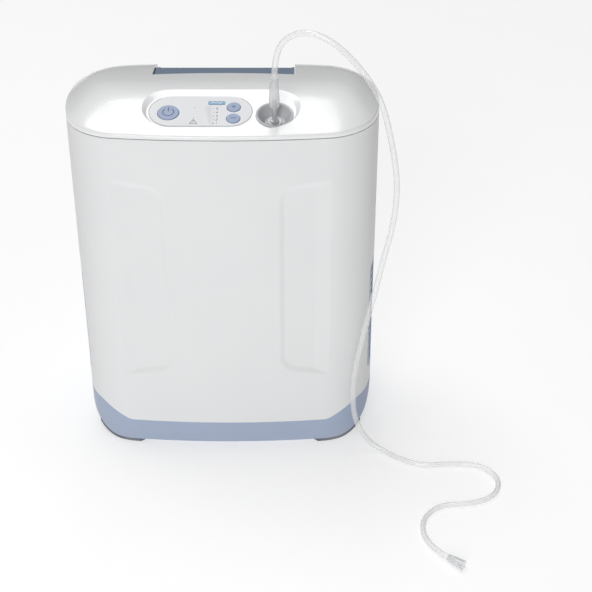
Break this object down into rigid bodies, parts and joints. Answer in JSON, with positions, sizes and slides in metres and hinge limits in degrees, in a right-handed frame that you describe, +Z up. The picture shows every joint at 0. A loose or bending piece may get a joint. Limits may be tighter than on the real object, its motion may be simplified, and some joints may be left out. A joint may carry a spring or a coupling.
{
  "type": "oxygen concentrator",
  "caption": "Home oxygen concentrator with an oval upright case, sloping control panel, rear carry handle, louvred side vents and a clear supply tube pushed on its outlet.",
  "frame": {"origin": "on the floor, under the middle of the case", "axes": "+X to the right seen from the front, +Y to the back, +Z up"},
  "size_m": [0.47, 0.3851, 0.5067],
  "materials": {
    "case_white": "satin moulded plastic with a very fine texture",
    "cap_white": "glossy moulded plastic",
    "seal_grey": "thin foam seal",
    "handle_blue": "satin slate-blue plastic",
    "pocket_grey": "satin grey plastic",
    "base_blue": "satin blue-grey plastic",
    "foot_rubber": "dark slate rubber",
    "overlay_film": "pale printed film",
    "key_lilac": "soft lilac-blue key with a printed symbol",
    "lens_clear": "small moulded lens",
    "badge_blue": "plain blue badge",
    "well_grey": "pale grey moulded plastic",
    "tube_clear": "clear soft vinyl",
    "cuff_clear": "clear soft vinyl",
    "back_trim": "satin blue-grey plastic",
    "inner_plastic": "plain moulded plastic",
    "foam_dark": "open-cell filter foam",
    "socket_black": "black plastic",
    "pin_brass": "plated blades",
    "label_silver": "blank film plate",
    "screw_steel": "zinc-plated",
    "sheet_steel": "plain steel",
    "cast_alloy": "die-cast alloy",
    "piston_alloy": "machined alloy",
    "isolator_rubber": "black rubber",
    "bed_alloy": "drawn alloy canister",
    "tank_plastic": "natural engineering plastic",
    "valve_steel": "plated steel",
    "fan_black": "black plastic",
    "board_green": "circuit board"
  },
  "bodies": {
    "case": {"ac_inlet": "socket_black", "badge": "badge_blue", "base_tray": "base_blue", "buzzer": "socket_black", "cap_gasket": "seal_grey", "case_screws": "screw_steel", "chassis": "sheet_steel", "control_overlay": "overlay_film", "crankcase": "cast_alloy", "cylinder_heads": "cast_alloy", "exhaust_grille": "back_trim", "fan_frame": "fan_black", "feed_hoses": "isolator_rubber", "filter_housing": "inner_plastic", "flow_lenses": "lens_clear", "foot_front_left": "foot_rubber", "foot_front_right": "foot_rubber", "foot_rear_left": "foot_rubber", "foot_rear_right": "foot_rubber", "front_shell": "case_white", "handle": "handle_blue", "handle_pocket": "pocket_grey", "heat_exchanger": "cast_alloy", "inlet_pins": "pin_brass", "intake_muffler": "inner_plastic", "isolators": "isolator_rubber", "keypad_board": "board_green", "main_board": "board_green", "motor_stator": "sheet_steel", "nozzle_cup": "well_grey", "outlet_filter": "inner_plastic", "outlet_nozzle": "well_grey", "oxygen_sensor": "tank_plastic", "oxygen_tube": "tube_clear", "power_supply": "sheet_steel", "product_tank": "tank_plastic", "rating_label": "label_silver", "rear_shell": "case_white", "side_vent_left": "base_blue", "side_vent_right": "base_blue", "sieve_bed_left": "bed_alloy", "sieve_bed_right": "bed_alloy", "solenoid_valves": "valve_steel", "status_lenses": "lens_clear", "switch_domes": "board_green", "top_cap": "cap_white", "tube_end_cuff": "cuff_clear", "tube_nozzle_cuff": "cuff_clear", "valve_manifold": "tank_plastic"},
    "power_key": {"power_button": "key_lilac"},
    "plus_key": {"plus_button": "key_lilac"},
    "minus_key": {"minus_button": "key_lilac"},
    "filter_door": {"filter_cover": "back_trim", "particle_filter": "foam_dark"},
    "fan": {"fan_rotor": "fan_black"},
    "crank": {"crankshaft": "sheet_steel"},
    "piston_l": {"piston_left": "piston_alloy"},
    "piston_r": {"piston_right": "piston_alloy"}
  },
  "joints": [
    {"name": "power_press", "type": "slide", "parent": "case", "child": "power_key", "axis": [0, -0.2588, 0.9659], "range_m": [-0.0008, 0], "stiffness_N_per_m": 900},
    {"name": "plus_press", "type": "slide", "parent": "case", "child": "plus_key", "axis": [0, -0.2588, 0.9659], "range_m": [-0.0008, 0], "stiffness_N_per_m": 900},
    {"name": "minus_press", "type": "slide", "parent": "case", "child": "minus_key", "axis": [0, -0.2588, 0.9659], "range_m": [-0.0008, 0], "stiffness_N_per_m": 900},
    {"name": "filter_door_pull", "type": "slide", "parent": "case", "child": "filter_door", "axis": [0, 1, 0], "range_m": [0, 0.03]},
    {"name": "fan_spin", "type": "hinge", "parent": "case", "child": "fan", "pos_m": [-0.062, 0.06, 0.262], "axis": [0, 1, 0], "continuous": true},
    {"name": "crank_spin", "type": "hinge", "parent": "case", "child": "crank", "pos_m": [0, -0.026, 0.088], "axis": [1, 0, 0], "continuous": true},
    {"name": "piston_left_stroke", "type": "slide", "parent": "case", "child": "piston_l", "axis": [0, 0, 1], "range_m": [-0.0015, 0.0015]},
    {"name": "piston_right_stroke", "type": "slide", "parent": "case", "child": "piston_r", "axis": [0, 0, 1], "range_m": [-0.0015, 0.0015]}
  ]
}
